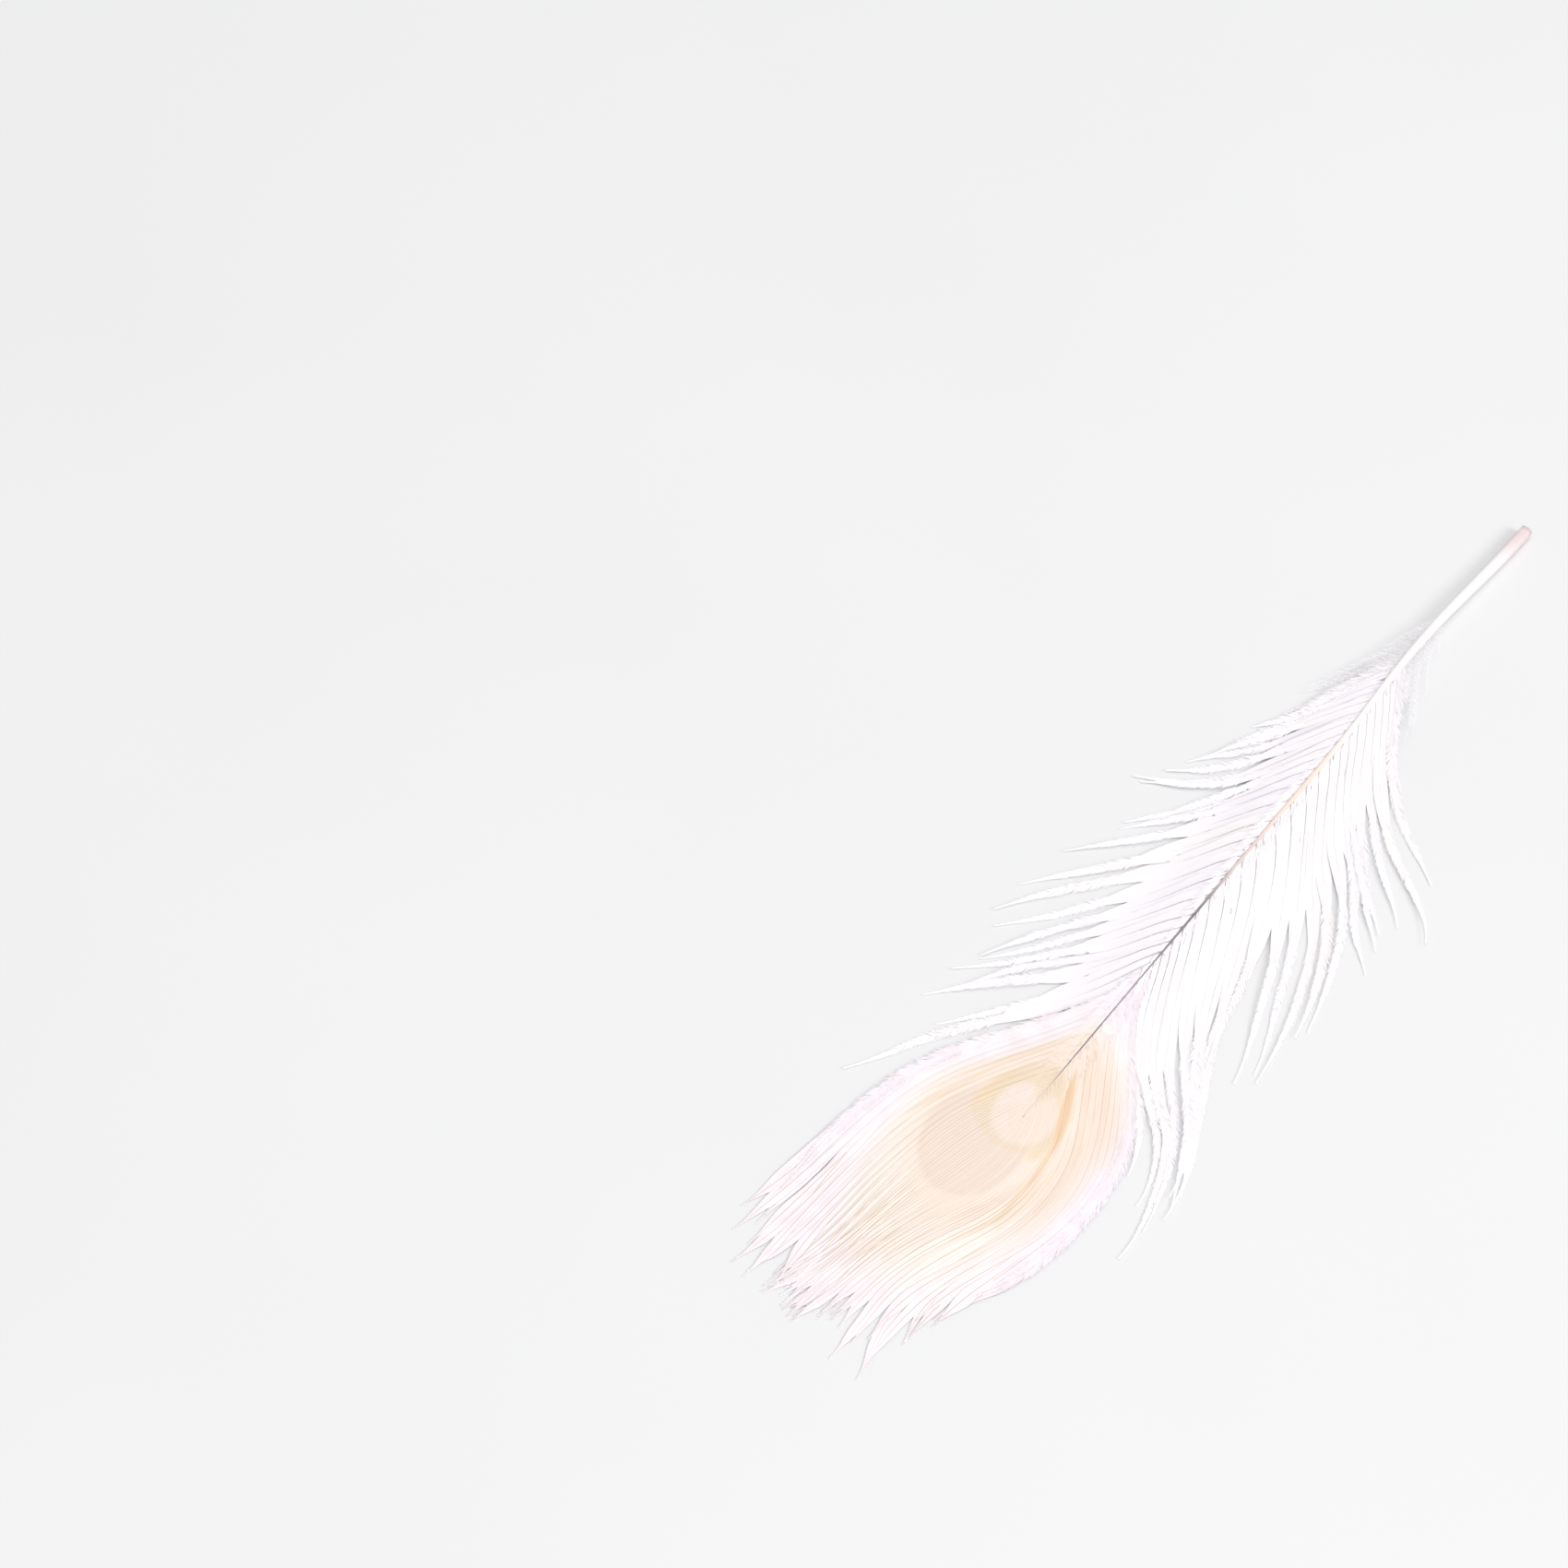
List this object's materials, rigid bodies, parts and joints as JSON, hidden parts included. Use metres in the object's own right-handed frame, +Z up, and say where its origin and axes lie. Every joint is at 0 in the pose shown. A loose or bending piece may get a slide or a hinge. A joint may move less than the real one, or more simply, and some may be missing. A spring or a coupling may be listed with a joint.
{
  "type": "peacock feather",
  "caption": "White peacock tail feather, trimmed short below its eye and lying face up: a tapered shaft, loose barbs on both sides and a closed, cream-tinted eye with a fringed tip.",
  "frame": {"origin": "on the surface the feather lies on, under the middle of its bounding box", "axes": "+X along the shaft from the cut quill to the tip of the eye, +Y to the feather's left, +Z up out of its face"},
  "size_m": [0.2776, 0.0926, 0.005],
  "materials": {
    "shaft_keratin": "smooth satin keratin, white, warmer in the middle and dark grey where it thins in the eye",
    "eye_barbs": "fine silky close barbs, cream with an ochre ring",
    "white_barbs": "soft white barbs with a faint lilac and cream tint"
  },
  "bodies": {
    "root": {"shaft": "shaft_keratin", "eye_web": "eye_barbs", "left_vane": "white_barbs", "right_vane": "white_barbs"}
  },
  "joints": []
}
